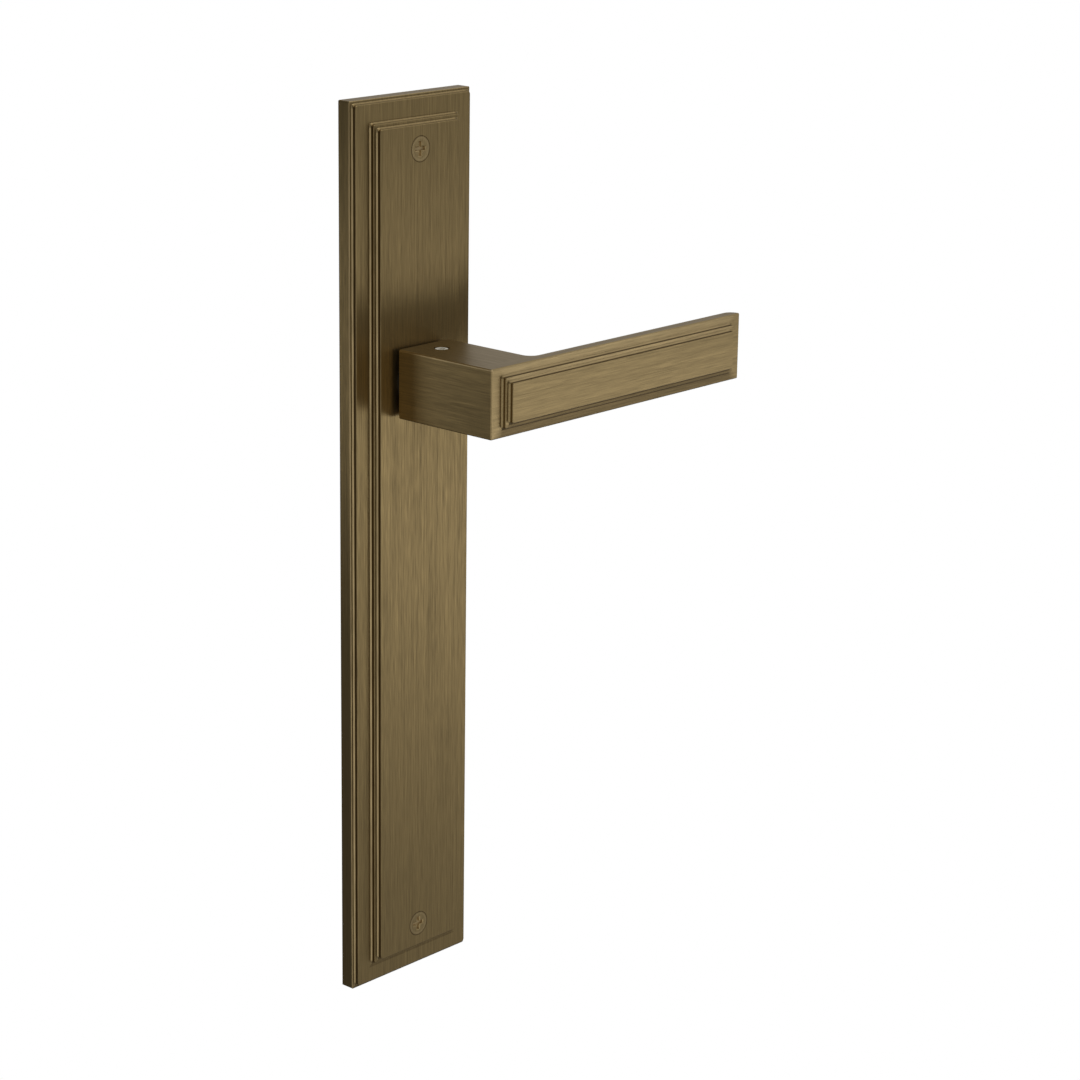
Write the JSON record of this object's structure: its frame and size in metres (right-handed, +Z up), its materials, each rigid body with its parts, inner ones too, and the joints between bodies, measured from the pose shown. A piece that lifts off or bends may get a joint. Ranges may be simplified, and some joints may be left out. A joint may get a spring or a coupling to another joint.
{
  "type": "door handle on backplate",
  "caption": "Sprung rectangular lever door handle on a tall stepped backplate, brushed antique bronze finish, with spring cassette, square spindle and fixing screws.",
  "frame": {"origin": "where the lever's turning axis meets the plane in which the plate lies on the door", "axes": "+X along the lever from neck to tip, +Y into the door, +Z up along the plate"},
  "size_m": [0.14, 0.0736, 0.3],
  "materials": {
    "antique_bronze": "brushed antique bronze",
    "bronze_screw": "brushed antique bronze",
    "bright_steel": "zinc plated",
    "spring_steel": "oiled",
    "dark_nylon": "matte",
    "cast_zinc": "as cast"
  },
  "bodies": {
    "plate": {"backplate": "antique_bronze", "top_screw": "bronze_screw", "bottom_screw": "bronze_screw", "bearing_bush": "dark_nylon", "spring_housing": "cast_zinc", "return_spring": "spring_steel", "cassette_cover": "bright_steel", "cover_screws": "bright_steel"},
    "handle": {"lever": "antique_bronze", "driver_cam": "cast_zinc", "retaining_ring": "spring_steel", "spindle": "bright_steel", "set_screw": "bright_steel"}
  },
  "joints": [
    {"name": "lever_turn", "type": "hinge", "parent": "plate", "child": "handle", "pos_m": [0, 0, 0], "axis": [0, 1, 0], "range_deg": [0, 45], "stiffness_Nm_per_rad": 1, "springref_deg": -28.65, "deforming": ["return_spring"]}
  ]
}
